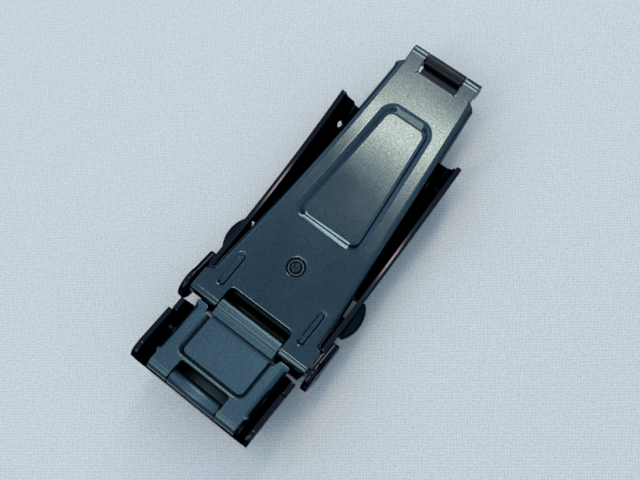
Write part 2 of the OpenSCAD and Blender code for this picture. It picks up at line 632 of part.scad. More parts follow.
module adjuster_box() color([0.1, 0.11, 0.14]) place() difference() {
    rim = shell_at(box_rim_r, -box_near);
    top_x = -box_far + box_lean;
    end_x = top_x + box_end_r;
    end_z = shell_at(box_rim_r, end_x) - box_end_r;
    low_x = top_x - box_lean * (end_z + reach) / (end_z - shell_at(shell_r, -box_far));
    intersection() {
        gutter(box_rim_r, box_w / 2, box_h, shell_t, -box_far - 4, -box_near + 3);
        side(rounded([[-box_near, -reach, 0], [-box_near, rim - box_step_h, 0.3],
            [-box_step_x, rim - box_step_h + 0.2, 0.3], [-box_step_x, rim + 0.6, 0.2],
            [-box_step_x - 0.5, rim + 3, 0], [-reach, rim + 3, 0], [-reach, -reach, 0]]), reach);
        union() {
            side([[end_x, reach], [0, reach], [0, -reach], [end_x, -reach]], reach);
            side([[top_x, end_z], [0, 0], [0, -reach], [low_x, -reach]], reach);
            across(end_x, end_z, box_end_r, reach);
        }
        plan(rounded([[0, box_w / 2 + 0.25, 0], [-box_far - 0.3, box_w / 2 + 0.25, box_corner],
            [-box_far - 0.3, -box_w / 2 - 0.25, box_corner], [0, -box_w / 2 - 0.25, 0]], 6));
    }
    across(-box_hole_x, box_hole_z, bar_hole_r, reach);
}

module box_tongue() color([0.2, 0.23, 0.26]) place() difference() {
    foot_r = shell_r - shell_t - crown / 2;
    union() {
        across(-ext_run, ext_rise, knuckle_r, ext_barrel_w);
        block(-ext_run - knuckle_r, -ext_run - knuckle_r + tongue_t, -ext_barrel_w / 2, ext_barrel_w / 2,
            shell_at(foot_r - tongue_t / 2, -ext_run), ext_rise);
        intersection() {
            translate([cover_mid_x, 0, cover_z]) rotate([90, 0, 0]) difference() {
                cylinder(r = foot_r, h = ext_barrel_w, center = true, $fn = big_fn);
                cylinder(r = foot_r - tongue_t, h = 30, center = true, $fn = big_fn);
            }
            block(-ext_run - knuckle_r, -ext_run + tongue_len, -8, 8, -9, 3);
        }
    }
    across(-ext_run, ext_rise, bore_r, 30);
}

cover_shell();
left_ear();
right_ear();
cover_hinge_pin();
latch_bridge();
left_button();
left_catch();
left_spring();
right_button();
right_catch();
right_spring();
middle_blade();
inner_blade();
lock_stud();
stud_ring();
fold_pin();
link_pin();
extension_plate();
extension_pin();
adjuster_box();
box_tongue();
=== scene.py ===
import json
import math
import bmesh
import bpy
from mathutils import Matrix, Vector


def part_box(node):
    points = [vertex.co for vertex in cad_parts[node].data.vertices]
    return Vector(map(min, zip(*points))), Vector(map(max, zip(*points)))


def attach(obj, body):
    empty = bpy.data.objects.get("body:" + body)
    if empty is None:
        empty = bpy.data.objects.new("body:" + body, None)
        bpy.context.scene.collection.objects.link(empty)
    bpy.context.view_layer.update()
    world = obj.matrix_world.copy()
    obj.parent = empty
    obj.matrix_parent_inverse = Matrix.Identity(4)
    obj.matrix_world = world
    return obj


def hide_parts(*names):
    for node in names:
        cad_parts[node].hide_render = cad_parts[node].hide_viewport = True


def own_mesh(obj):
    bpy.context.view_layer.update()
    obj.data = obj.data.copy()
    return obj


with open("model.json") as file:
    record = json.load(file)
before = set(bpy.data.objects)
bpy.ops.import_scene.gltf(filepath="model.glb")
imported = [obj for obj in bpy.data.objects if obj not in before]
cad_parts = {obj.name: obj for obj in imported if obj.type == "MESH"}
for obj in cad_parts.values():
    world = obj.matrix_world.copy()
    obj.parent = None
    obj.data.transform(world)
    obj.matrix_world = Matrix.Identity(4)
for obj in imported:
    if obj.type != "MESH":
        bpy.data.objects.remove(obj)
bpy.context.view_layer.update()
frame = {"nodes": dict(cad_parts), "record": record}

mm = 0.001
nodes = frame["nodes"]
bodyOf = {node: body for body, group in frame["record"]["behaviour"]["bodies"].items() for node in group}
print("frame loaded:", len(nodes), "nodes")


# Places along the clasp, in mm, as in the part's source: x from the link axis, z from its height.
linkLow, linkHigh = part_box("link_pin")
layout = {
    "originX": (linkLow.x + linkHigh.x) / 2 / mm, "originZ": (linkLow.z + linkHigh.z) / 2 / mm,
    "arcX": 20.3, "arcR": 117.0, "foldX": 40.6, "curlR": 0.7,
}
arcZ = math.sqrt(layout["arcR"] ** 2 - layout["arcX"] ** 2)
curlR = layout["curlR"]


def arcAt(radius, x):
    return arcZ - math.sqrt(radius ** 2 - (x - layout["arcX"]) ** 2)


# small helpers for colours, nodes and objects
def linear(hexCode, alpha=1.0):
    channels = [int(hexCode[i:i + 2], 16) / 255 for i in (0, 2, 4)]
    return [c / 12.92 if c <= 0.04045 else ((c + 0.055) / 1.055) ** 2.4 for c in channels] + [alpha]


def addNode(tree, kind, settings=None, inputs=None):
    node = tree.nodes.new(kind)
    for key, value in (settings or {}).items():
        setattr(node, key, value)
    for key, value in (inputs or {}).items():
        if isinstance(value, bpy.types.NodeSocket):
            tree.links.new(value, node.inputs[key])
        else:
            node.inputs[key].default_value = value
    return node


def toneRamp(tree, factor, tones, places=(0.0, 1.0)):
    # fades from one tone to the other between two places
    ramp = addNode(tree, "ShaderNodeValToRGB", inputs={"Fac": factor})
    for element, tone, place in zip(ramp.color_ramp.elements, tones, places):
        element.position = place
        element.color = linear(tone)
    return ramp.outputs[0]


def startMaterial(name):
    material = bpy.data.materials.new(name)
    material.use_nodes = True
    tree = material.node_tree
    tree.nodes.clear()
    out = addNode(tree, "ShaderNodeOutputMaterial")
    shader = addNode(tree, "ShaderNodeBsdfPrincipled")
    tree.links.new(shader.outputs[0], out.inputs[0])
    place = addNode(tree, "ShaderNodeTexCoord")
    return material, tree, shader, place.outputs["Object"]


def deselect():
    if bpy.context.object and bpy.context.object.mode != "OBJECT":
        bpy.ops.object.mode_set(mode="OBJECT")
    bpy.ops.object.select_all(action="DESELECT")


def pick(obj):
    deselect()
    bpy.context.view_layer.objects.active = obj
    obj.select_set(True)


def applyModifier(obj, kind, **settings):
    pick(obj)
    modifier = obj.modifiers.new(kind.lower(), kind)
    for key, value in settings.items():
        setattr(modifier, key, value)
    bpy.ops.object.modifier_apply(modifier=modifier.name)


def smooth(obj, degrees=35):
    pick(obj)
    bpy.ops.object.shade_smooth_by_angle(angle=math.radians(degrees))


def finishPiece(obj, material, body, node):
    obj.data.materials.clear()
    obj.data.materials.append(material)
    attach(obj, body)
    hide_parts(node)


def copyOfNode(node, name):
    copy = nodes[node].copy()
    copy.data = nodes[node].data.copy()
    copy.name = name
    copy.data.name = name
    copy.parent = None
    copy.matrix_world = Matrix.Identity(4)
    for key in list(copy.keys()):
        del copy[key]
    bpy.context.scene.collection.objects.link(copy)
    return copy


def roundedCopy(node, name, width, segments=2, angle=30):
    # the solid's loose triangles are joined, its flat faces made whole, and its sharp edges rounded
    copy = copyOfNode(node, name)
    pick(copy)
    bpy.ops.object.mode_set(mode="EDIT")
    bpy.ops.mesh.select_all(action="SELECT")
    bpy.ops.mesh.remove_doubles(threshold=2e-6)
    bpy.ops.mesh.dissolve_limited(angle_limit=math.radians(0.6))
    bpy.ops.object.mode_set(mode="OBJECT")
    applyModifier(copy, "BEVEL", width=width * mm, segments=segments, limit_method="ANGLE",
                  angle_limit=math.radians(angle), use_clamp_overlap=True, harden_normals=False)
    smooth(copy, 40)
    return copy


# materials, each named for what the real surface is
def matteBlackSteel(name, tones, rough, glance="ffffff"):
    # blasted stainless steel under black ion plating: a dark grey with a soft sheen and a very fine grain
    material, tree, shader, place = startMaterial(name)
    patches = addNode(tree, "ShaderNodeTexNoise", inputs={"Vector": place, "Scale": 90.0, "Detail": 3.0})
    colour = toneRamp(tree, patches.outputs["Fac"], tones, (0.35, 0.68))
    # the grain is drawn at about 0.17 mm, coarser than the blasted surface has, so that it shows
    grain = addNode(tree, "ShaderNodeTexNoise", inputs={"Vector": place, "Scale": 6000.0, "Detail": 3.0})
    bump = addNode(tree, "ShaderNodeBump", inputs={"Strength": 0.025, "Distance": 0.00002,
                                                   "Height": grain.outputs["Fac"]})
    spread = addNode(tree, "ShaderNodeMapRange", inputs={0: patches.outputs["Fac"], 1: 0.3, 2: 0.7,
                                                         3: rough - 0.02, 4: rough + 0.04})
    speck = addNode(tree, "ShaderNodeMapRange", inputs={0: grain.outputs["Fac"], 1: 0.32, 2: 0.68,
                                                        3: 0.7, 4: 1.3})
    flecked = addNode(tree, "ShaderNodeVectorMath", {"operation": "MULTIPLY"},
                      {0: colour, 1: speck.outputs[0]})
    tree.links.new(flecked.outputs[0], shader.inputs["Base Color"])
    tree.links.new(bump.outputs[0], shader.inputs["Normal"])
    tree.links.new(spread.outputs[0], shader.inputs["Roughness"])
    shader.inputs["Specular Tint"].default_value = linear(glance)
    shader.inputs["Metallic"].default_value = 1.0
    return material


def polishedBlackSteel(name, tones, rough, glance):
    # stainless steel polished before black plating: near black, with clear reflections and faint wipe marks
    material, tree, shader, place = startMaterial(name)
    stretch = addNode(tree, "ShaderNodeMapping", inputs={"Vector": place, "Scale": (0.08, 1.0, 1.0)})
    marks = addNode(tree, "ShaderNodeTexNoise", inputs={"Vector": stretch.outputs[0], "Scale": 3000.0,
                                                        "Detail": 3.0})
    spread = addNode(tree, "ShaderNodeMapRange", inputs={0: marks.outputs["Fac"], 1: 0.35, 2: 0.75,
                                                         3: rough, 4: rough + 0.07})
    clouds = addNode(tree, "ShaderNodeTexNoise", inputs={"Vector": place, "Scale": 140.0, "Detail": 2.0})
    tree.links.new(toneRamp(tree, clouds.outputs["Fac"], tones), shader.inputs["Base Color"])
    tree.links.new(spread.outputs[0], shader.inputs["Roughness"])
    shader.inputs["Specular Tint"].default_value = linear(glance)
    shader.inputs["Metallic"].default_value = 1.0
    return material


def bareSteel(name, tones, rough):
    # drawn or stamped stainless steel without plating: grey, with lines along the draw
    material, tree, shader, place = startMaterial(name)
    stretch = addNode(tree, "ShaderNodeMapping", inputs={"Vector": place, "Scale": (1.0, 0.06, 1.0)})
    lines = addNode(tree, "ShaderNodeTexNoise", inputs={"Vector": stretch.outputs[0], "Scale": 9000.0,
                                                        "Detail": 2.0})
    spread = addNode(tree, "ShaderNodeMapRange", inputs={0: lines.outputs["Fac"],
                                                         3: rough, 4: rough + 0.12})
    tree.links.new(toneRamp(tree, lines.outputs["Fac"], tones), shader.inputs["Base Color"])
    tree.links.new(spread.outputs[0], shader.inputs["Roughness"])
    shader.inputs["Metallic"].default_value = 1.0
    return material


def paleCloth(name):
    # the pale cloth that the clasp lies on, its threads 0.36 mm apart and running along the picture's sides
    material, tree, shader, place = startMaterial(name)
    turned = addNode(tree, "ShaderNodeMapping", inputs={"Vector": place,
                                                        "Rotation": (0, 0, math.radians(52.7))})
    loose = addNode(tree, "ShaderNodeTexNoise", inputs={"Vector": place, "Scale": 3000.0, "Detail": 2.0})
    threads = []
    for direction in ("X", "Y"):
        threads.append(addNode(tree, "ShaderNodeTexWave",
                               {"wave_type": "BANDS", "bands_direction": direction},
                               {"Vector": turned.outputs[0], "Scale": 872.0, "Distortion": 4.0,
                                "Detail": 2.0, "Detail Scale": 1.5}).outputs["Fac"])
    crossed = addNode(tree, "ShaderNodeMath", {"operation": "ADD"}, {0: threads[0], 1: threads[1]})
    weave = addNode(tree, "ShaderNodeMath", {"operation": "MULTIPLY_ADD"},
                    {0: crossed.outputs[0], 1: 0.28, 2: loose.outputs["Fac"]})
    colour = toneRamp(tree, weave.outputs[0], ("bdcbd4", "d8e5ed"), (0.4, 1.0))
    bump = addNode(tree, "ShaderNodeBump", inputs={"Strength": 0.25, "Distance": 0.00006,
                                                   "Height": crossed.outputs[0]})
    tree.links.new(colour, shader.inputs["Base Color"])
    tree.links.new(bump.outputs[0], shader.inputs["Normal"])
    shader.inputs["Roughness"].default_value = 0.9
    shader.inputs["Specular IOR Level"].default_value = 0.2
    return material


matteBlade = matteBlackSteel("matteBlackPlatedSteel", ("2f434f", "364a57"), 0.12)
# the middle blade has the inner blade's plating with painted shade: darker tones, since it lies under the
# inner blade and is seen through its slots
matteBladePaintedShade = matteBlackSteel("matteBlackPlatedPaintedShade", ("151d24", "1b242c"), 0.26)
matteStud = matteBlackSteel("matteBlackPlatedStud", ("1f2c35", "25343e"), 0.2)
mattePlate = matteBlackSteel("matteBlackPlatedLink", ("344d5d", "3a5464"), 0.29)
polishedCover = polishedBlackSteel("polishedBlackPlatedSteel", ("171d27", "1e252e"), 0.06, "7c8598")
satinButton = matteBlackSteel("satinBlackPlatedButton", ("07131b", "0b1a23"), 0.3, "6c7c88")
bareBridge = bareSteel("stampedBareSteel", ("6c7074", "868a8e"), 0.3)
springWire = bareSteel("drawnSpringWire", ("8a8d91", "b4b7ba"), 0.22)
print("materials ready")


# sheet metal: a flat blank is cut, pressed, rolled at its edges and curled round its pins
def smoothStep(low, high, x):
    k = min(max((x - low) / (high - low), 0.0), 1.0)
    return k * k * (3 - 2 * k)


def mix(a, b, k):
    return a + (b - a) * k


def roundBox(u, v, low, high, radius):
    # distance from a point to a box with rounded corners, negative inside
    qu = max(low[0] - u, u - high[0]) + radius
    qv = max(low[1] - v, v - high[1]) + radius
    return math.hypot(max(qu, 0.0), max(qv, 0.0)) + min(max(qu, qv), 0.0) - radius


def ramp(low, high, x, soft=0.18):
    # straight slope from 0 to 1, rounded at both its ends
    k = (x - low) / (high - low)
    areas = [0 if t < 0 else t * t / 2 if t < 1 else t - 0.5 for t in (k + soft, k - soft)]
    return (areas[0] - areas[1]) / (2 * soft)


def spread(count, low, high, fine=()):
    # places from low to high, closer together near the middles listed in fine, as middle, reach and share
    steps = 2000
    total, sums = 0.0, [0.0]
    for i in range(steps):
        x = mix(low, high, (i + 0.5) / steps)
        total += 1 + sum(more * math.exp(-((x - middle) / near) ** 4) for middle, near, more in fine)
        sums.append(total)
    places, i = [], 0
    for n in range(count + 1):
        want = total * n / count
        while i < steps - 1 and sums[i + 1] < want:
            i += 1
        places.append(mix(low, high, (i + (want - sums[i]) / (sums[i + 1] - sums[i])) / steps))
    return places


def makeBlank(name, along, across, rule):
    deselect()
    bpy.ops.mesh.primitive_grid_add(x_subdivisions=along, y_subdivisions=across, size=2)
    piece = bpy.context.object
    piece.name = name
    piece.data.name = name
    xs = {x: i for i, x in enumerate(sorted({round(v.co.x, 4) for v in piece.data.vertices}))}
    ys = {y: i for i, y in enumerate(sorted({round(v.co.y, 4) for v in piece.data.vertices}))}
    for v in piece.data.vertices:
        u, w = rule(xs[round(v.co.x, 4)] / (len(xs) - 1), ys[round(v.co.y, 4)])
        v.co = (u, w, 0)
    return piece


def cutBlank(piece, cuts, near=0.16):
    # faces inside a cut go, and the verts left along it move onto its outline
    step = 0.01
    for cut in cuts:
        pick(piece)
        bpy.ops.object.mode_set(mode="EDIT")
        bpy.ops.mesh.select_mode(type="FACE")
        bpy.ops.mesh.select_all(action="DESELECT")
        mesh = bmesh.from_edit_mesh(piece.data)
        for face in mesh.faces:
            middle = face.calc_center_median()
            face.select = cut(middle.x, middle.y) < 0
        bmesh.update_edit_mesh(piece.data)
        if any(face.select for face in mesh.faces):
            bpy.ops.mesh.delete(type="FACE")
        mesh = bmesh.from_edit_mesh(piece.data)
        for v in mesh.verts:
            if v.is_boundary:
                for _ in range(2):
                    depth = cut(v.co.x, v.co.y)
                    if abs(depth) > near:
                        break
                    du = (cut(v.co.x + step, v.co.y) - depth) / step
                    dv = (cut(v.co.x, v.co.y + step) - depth) / step
                    size = du * du + dv * dv
                    if size > 0.2:
                        v.co.x -= depth * du / size
                        v.co.y -= depth * dv / size
        bmesh.update_edit_mesh(piece.data)
        bpy.ops.object.mode_set(mode="OBJECT")


def shapeBlank(piece, place):
    for v in piece.data.vertices:
        x, y, z = place(v.co.x, v.co.y)
        v.co = ((x + layout["originX"]) * mm, y * mm, (z + layout["originZ"]) * mm)


def thicken(piece, thickness, edge, segments=2):
    applyModifier(piece, "SOLIDIFY", thickness=thickness * mm, offset=0.0, use_even_offset=True)
    applyModifier(piece, "BEVEL", width=edge * mm, segments=segments, limit_method="ANGLE",
                  angle_limit=math.radians(50), use_clamp_overlap=True)
    smooth(piece, 42)


def rolledRule(rows, columns, flatHalf, spare, rollColumns):
    # spreads a blank's columns over its flat middle and, closer together, over its rolled edges
    flatColumns = len(columns) - 1

    def rule(s, j):
        u = rows[round(s * (len(rows) - 1))]
        flat = flatHalf(u)
        if j < rollColumns:
            return u, -flat - spare(u) * (rollColumns - j) / rollColumns
        if j > rollColumns + flatColumns:
            return u, flat + spare(u) * (j - rollColumns - flatColumns) / rollColumns
        return u, flat * columns[j - rollColumns]
    return rule, flatColumns + 2 * rollColumns


def edgeRule(spec, outline, share):
    # the half width that stays flat, and what the blank has past it, where the edge is rolled by a share
    half = spec["sheet"] / 2

    def flatHalf(u):
        return outline(u) - half - spec["rollR"]

    def spare(u):
        rolled = spec["rollR"] * math.pi / 2 + spec["edgeD"] - half - spec["rollR"]
        return mix(spec["rollR"] + half, rolled, share(u))
    return flatHalf, spare


def rolledEdge(v, flat, radius, share):
    # where a point of the blank goes across and down once the edge is rolled, wholly or by a share
    past = abs(v) - flat
    if past <= 0:
        return v, 0.0
    if past < radius * math.pi / 2:
        across, down = flat + radius * math.sin(past / radius), radius * (1 - math.cos(past / radius))
    else:
        across, down = flat + radius, radius + past - radius * math.pi / 2
    return math.copysign(mix(abs(v), across, share), v), down * share


def curl(centre, radius, angle, out=1):
    c, s = math.cos(angle), math.sin(angle)
    return centre[0] + radius * c, centre[1] + radius * s, out * c, out * s


tilt = math.atan2(arcZ, layout["arcX"])
curlTurn = math.radians(284)


def onArc(radius, x):
    z = arcAt(radius, x)
    return x, z, (layout["arcX"] - x) / radius, (arcZ - z) / radius


# inner blade, with its long pressed panel, two beads and the slots for both barrels
innerSpec = {
    "sheet": 0.57, "edgeD": 1.0, "rollR": 0.7,
    "lugHalf": 8.9, "tipHalf": 5.05, "wideHalf": 8.5, "shoulderHalf": 5.95,
    "lugStep": (2.3, 3.0), "edgeX": 3.2, "shoulderX": 38.2, "shoulderBack": 0.45, "tipRun": 0.95,
    "rollIn": (2.5, 3.4), "rollOut": (37.6, 38.7), "rows": 290, "flatColumns": 112, "rollColumns": 7,
    "fineRows": ((1.7, 0.5, 2.2), (6.6, 0.6, 1.6), (15.0, 1.0, 1.6), (33.2, 1.0, 1.6)),
    "fineColumns": ((-0.75, 0.2, 1.6), (0.75, 0.2, 1.6)),
    "panel": (15.0, 33.2, 4.8, 3.35), "panelCorner": 1.5, "panelDepth": 0.46, "panelWall": (-0.44, 0.22),
    "beadX": (1.7, 6.7), "beadY": 6.2, "beadR": 0.6, "beadDepth": 0.3, "beadWall": (-0.22, 0.04),
    "linkSlot": (2.5, 4.85), "foldSlot": (38.5, 2.95), "studX": 9.1, "studSeatR": 1.28,
    "edge": 0.1,
}


def bladeHalf(x, spec=innerSpec):
    return mix(spec["wideHalf"], spec["shoulderHalf"],
               (x - spec["edgeX"]) / (spec["shoulderX"] - spec["edgeX"]))


def makeInnerBlade():
    spec = innerSpec
    ends = (curlR * math.cos(tilt), layout["foldX"] - curlR * math.cos(tilt))

    def outline(u):
        if u < spec["edgeX"]:
            return mix(spec["lugHalf"], spec["wideHalf"], smoothStep(*spec["lugStep"], u))
        start = spec["shoulderX"] - spec["shoulderBack"]
        if u < start:
            return bladeHalf(u)
        k = min((u - start) / spec["tipRun"], 1.0)
        return mix(spec["tipHalf"], bladeHalf(start), math.sqrt(1 - k * k))

    def share(u):
        return smoothStep(*spec["rollIn"], u) * (1 - smoothStep(*spec["rollOut"], u))

    flatHalf, spare = edgeRule(spec, outline, share)

    def pressed(u, v):
        x0, x1, h0, h1 = spec["panel"]
        widths = mix(h0, h1, (u - x0) / (x1 - x0))
        inside = roundBox(u, v, (x0, -widths), (x1, widths), spec["panelCorner"])
        b0, b1 = spec["beadX"]
        along = min(max(u, b0 + spec["beadR"]), b1 - spec["beadR"])
        bead = math.hypot(u - along, abs(v) - spec["beadY"]) - spec["beadR"]
        return (spec["panelDepth"] * (ramp(*spec["panelWall"], inside, 0.5) - 1)
                + spec["beadDepth"] * (ramp(*spec["beadWall"], bead, 0.5) - 1))

    def base(u):
        if u < ends[0]:
            return curl((0, 0), curlR, tilt + (ends[0] - u) / curlR)
        if u > ends[1]:
            return curl((layout["foldX"], 0), curlR, math.pi - tilt - (u - ends[1]) / curlR)
        return onArc(layout["arcR"] - curlR, u)

    def place(u, v):
        x, z, nx, nz = base(u)
        y, down = rolledEdge(v, flatHalf(u), spec["rollR"], share(u))
        lift = pressed(u, v) - down
        return x + nx * lift, y, z + nz * lift

    low, high = ends[0] - curlR * curlTurn, ends[1] + curlR * curlTurn
    rows = spread(spec["rows"], low, high, spec["fineRows"])
    rule, columns = rolledRule(rows, spread(spec["flatColumns"], -1, 1, spec["fineColumns"]),
                               flatHalf, spare, spec["rollColumns"])
    piece = makeBlank("innerBlade", spec["rows"], columns, rule)
    linkX, linkHalf = spec["linkSlot"]
    foldX, foldHalf = spec["foldSlot"]
    cutBlank(piece, [
        lambda u, v: roundBox(u, v, (-99, -linkHalf), (linkX, linkHalf), 0.7),
        lambda u, v: roundBox(u, v, (foldX, -foldHalf), (99, foldHalf), 0.5),
        lambda u, v: math.hypot(u - spec["studX"], v) - spec["studSeatR"],
    ])
    shapeBlank(piece, place)
    thicken(piece, spec["sheet"], spec["edge"])
    finishPiece(piece, matteBlade, "inner_blade", "inner_blade")
    print("inner blade pressed")


# middle blade, straight at the cover hinge and then arched under the inner blade
middleSpec = {
    "sheet": 0.57, "edgeD": 0.85, "rollR": 0.55, "lugHalf": 8.8, "tipHalf": 2.75, "inset": 0.3,
    "tipRun": 0.8, "rollOut": (36.9, 37.9), "hingeDrop": 2.35, "flatZ": -1.67, "flatEnd": 6.58,
    "rows": 190, "flatColumns": 56, "rollColumns": 6,
    "slot": (2.1, 5.3), "window": (9.1, 1.6, 0.25), "edge": 0.1,
}


def makeMiddleBlade():
    spec = middleSpec
    end = layout["foldX"] + curlR * math.cos(tilt)
    hingeR = spec["hingeDrop"] + spec["flatZ"]

    def outline(u):
        if u < innerSpec["edgeX"]:
            return mix(spec["lugHalf"], innerSpec["wideHalf"] - spec["inset"],
                       smoothStep(*innerSpec["lugStep"], u))
        start = innerSpec["shoulderX"] - spec["tipRun"]
        if u < start:
            return bladeHalf(u) - spec["inset"]
        k = min((u - start) / spec["tipRun"], 1.0)
        return mix(spec["tipHalf"], bladeHalf(start) - spec["inset"], math.sqrt(1 - k * k))

    def share(u):
        return smoothStep(*innerSpec["rollIn"], u) * (1 - smoothStep(*spec["rollOut"], u))

    flatHalf, spare = edgeRule(spec, outline, share)

    def base(u):
        if u < 0:
            return curl((0, -spec["hingeDrop"]), hingeR, math.pi / 2 - u / hingeR)
        if u < spec["flatEnd"]:
            return u, spec["flatZ"], 0.0, 1.0
        if u > end:
            return curl((layout["foldX"], 0), curlR, -tilt + (u - end) / curlR, out=-1)
        return onArc(layout["arcR"] + curlR, u)

    def place(u, v):
        x, z, nx, nz = base(u)
        y, down = rolledEdge(v, flatHalf(u), spec["rollR"], share(u))
        return x - nx * down, y, z - nz * down

    low, high = -hingeR * curlTurn, end + curlR * curlTurn
    rule, columns = rolledRule(spread(spec["rows"], low, high), spread(spec["flatColumns"], -1, 1),
                               flatHalf, spare, spec["rollColumns"])
    piece = makeBlank("middleBlade", spec["rows"], columns, rule)
    slotX, slotHalf = spec["slot"]
    windowX, windowR, windowReach = spec["window"]
    cutBlank(piece, [
        lambda u, v: roundBox(u, v, (-99, -slotHalf), (slotX, slotHalf), 0.7),
        lambda u, v: math.hypot(max(abs(u - windowX) - windowReach, 0), v) - windowR,
    ], near=0.2)
    shapeBlank(piece, place)
    thicken(piece, spec["sheet"], spec["edge"])
    # the middle blade takes the darker plating, with painted shade for where it lies under the inner blade
    finishPiece(piece, matteBladePaintedShade, "middle_blade", "middle_blade")
    print("middle blade pressed")


# extension plate: a framed field, two horns, knuckles at one end and a curled barrel at the other
linkSpec = {
    "sheet": 0.57, "run": 10.2, "rise": 1.8, "linkUp": 0.8, "edgeD": 0.9, "rollR": 0.6,
    "lugHalf": 6.65, "plateHalf": 7.1, "barrelHalf": 4.65,
    "fieldHalf": 5.0, "fieldX": 2.5, "fieldDepth": 0.6, "fieldWall": (-0.34, 0.2),
    "slot": (2.1, 3.75), "lugStep": (0.8, 1.5), "rollIn": (1.2, 2.0), "rollOut": (-0.8, -0.1),
    "hornInner": 5.5, "hornR": 1.25, "hornDrop": 0.4, "neckBack": 2.2,
    "tail": 0.7, "tuck": 0.85, "dip": 0.15, "dipR": 0.5, "rows": 150, "flatColumns": 118, "rollColumns": 7,
    "fineColumns": ((-0.77, 0.1, 1.5), (0.77, 0.1, 1.5)), "edge": 0.09,
}


def makeExtensionPlate():
    spec = linkSpec
    reach = math.hypot(spec["run"], spec["rise"])
    slope = math.atan2(spec["rise"], spec["run"]) + math.asin(spec["linkUp"] / reach)
    linkX = math.sqrt(reach ** 2 - spec["linkUp"] ** 2)
    hornX = linkX - math.sqrt(spec["hornR"] ** 2 - spec["hornDrop"] ** 2)
    neckX = linkX - spec["neckBack"]
    turned = linkX + curlR * (math.pi + spec["tuck"])

    def outline(u):
        return mix(spec["lugHalf"], spec["plateHalf"], smoothStep(*spec["lugStep"], u))

    def share(u):
        start, end = spec["rollOut"]
        return smoothStep(*spec["rollIn"], u) * (1 - smoothStep(hornX + start, hornX + end, u))

    flatHalf, spare = edgeRule(spec, outline, share)

    def pressed(u, v):
        if u > linkX:
            return 0.0
        field = roundBox(u, v, (spec["fieldX"], -spec["fieldHalf"]), (99, spec["fieldHalf"]), 1.1)
        return spec["fieldDepth"] * (ramp(*spec["fieldWall"], field, 0.25) - 1)

    def base(u):
        if u < 0:
            return curl((0, 0), curlR, math.pi / 2 - u / curlR)
        if u <= linkX:
            return u, curlR, 0.0, 1.0
        if u < turned:
            return curl((linkX, spec["linkUp"]), curlR, -math.pi / 2 + (u - linkX) / curlR, out=-1)
        # past the barrel the folded end dips and lies flat again
        x, z, nx, nz = curl((linkX, spec["linkUp"]), curlR, math.pi / 2 + spec["tuck"], out=-1)
        along, bend = min(u - turned, spec["dip"]), spec["dipR"] * spec["tuck"]
        x, z = x + along * nz - spec["dipR"] * nx, z - along * nx - spec["dipR"] * nz
        past = min(max(u - turned - spec["dip"], 0), bend)
        turn = math.pi / 2 + spec["tuck"] - past / spec["dipR"]
        sx, sz, nx, nz = curl((x, z), -spec["dipR"], turn, out=-1)
        return sx - max(u - turned - spec["dip"] - bend, 0), sz, nx, nz

    def place(u, v):
        x, z, nx, nz = base(u)
        y, down = rolledEdge(v, flatHalf(u), spec["rollR"], share(u))
        lift = pressed(u, v) - down
        x, z = x + nx * lift, z + nz * lift
        return (x * math.cos(slope) + z * math.sin(slope) - spec["run"], y,
                z * math.cos(slope) - x * math.sin(slope) + spec["rise"])

    low, high = -curlR * curlTurn, turned + spec["dip"] + spec["dipR"] * spec["tuck"] + spec["tail"]
    rule, columns = rolledRule(spread(spec["rows"], low, high, ((spec["fieldX"], 0.7, 1.5),)),
                               spread(spec["flatColumns"], -1, 1, spec["fineColumns"]), flatHalf, spare,
                               spec["rollColumns"])
    piece = makeBlank("extensionPlate", spec["rows"], columns, rule)
    slotX, slotHalf = spec["slot"]

    def besideBarrel(u, v):
        beyond = roundBox(u, abs(v), (neckX, spec["barrelHalf"]), (99, 99), 0.25)
        horn = roundBox(u, abs(v), (-99, spec["hornInner"]), (hornX, 7.3), 0.45)
        return max(beyond, -horn)

    cutBlank(piece, [
        lambda u, v: roundBox(u, v, (-99, -slotHalf), (slotX, slotHalf), 0.4),
        besideBarrel,
    ], near=0.13)
    shapeBlank(piece, place)
    thicken(piece, spec["sheet"], spec["edge"])
    finishPiece(piece, mattePlate, "extension_plate", "extension_plate")
    print("extension plate pressed")


# the two channels, bent from polished strip: the outer cover and the adjuster box
def channelProfile(half, depth, sideRound, crown, wall, sideSteps, floorSteps):
    # points across the channel at the middle of its wall: half width against depth below the rim
    t = wall / 2
    side = [(half - t - (sideRound - t) * (1 - math.cos(a)), (depth - crown - t) * math.sin(a))
            for a in (math.pi / 2 * i / sideSteps for i in range(sideSteps + 1))]
    floor = [((half - sideRound) * (1 - i / floorSteps), depth - t - crown * (1 - i / floorSteps) ** 2)
             for i in range(1, floorSteps + 1)]
    points = side + floor
    return points + [(-y, d) for y, d in reversed(points[:-1])]


coverSpec = {
    "half": 9.25, "depth": 5.6, "wall": 0.66, "sideRound": 2.8, "crown": 0.3, "rimR": 100.0, "midX": 14.5,
    "centreZ": 99.0, "sideSteps": 22, "floorSteps": 22, "floorBack": -1.8, "wallX": 2.9, "notchZ": -3.85,
    "farX": 30.5, "corner": (31.8, 9.3, 1.9), "rowStep": 0.2, "button": (8.1, 2.78, 1.28),
    "barHole": (28.2, -3.902, 0.55), "edge": 0.17,
}
boxSpec = {
    "half": 8.95, "depth": 7.3, "wall": 0.66, "sideRound": 2.8, "crown": 0.3, "rimR": 98.3, "midX": 14.5,
    "centreZ": 99.0, "sideSteps": 42, "floorSteps": 20, "near": -2.2, "far": -11.9, "lean": 0.45, "endR": 2.4,
    "corner": (-12.35, 9.2, 2.2), "stepX": -4.2, "stepDown": 1.1, "rowStep": 0.16,
    "barHole": (-5.9, -0.46, 0.55), "edge": 0.15,
}


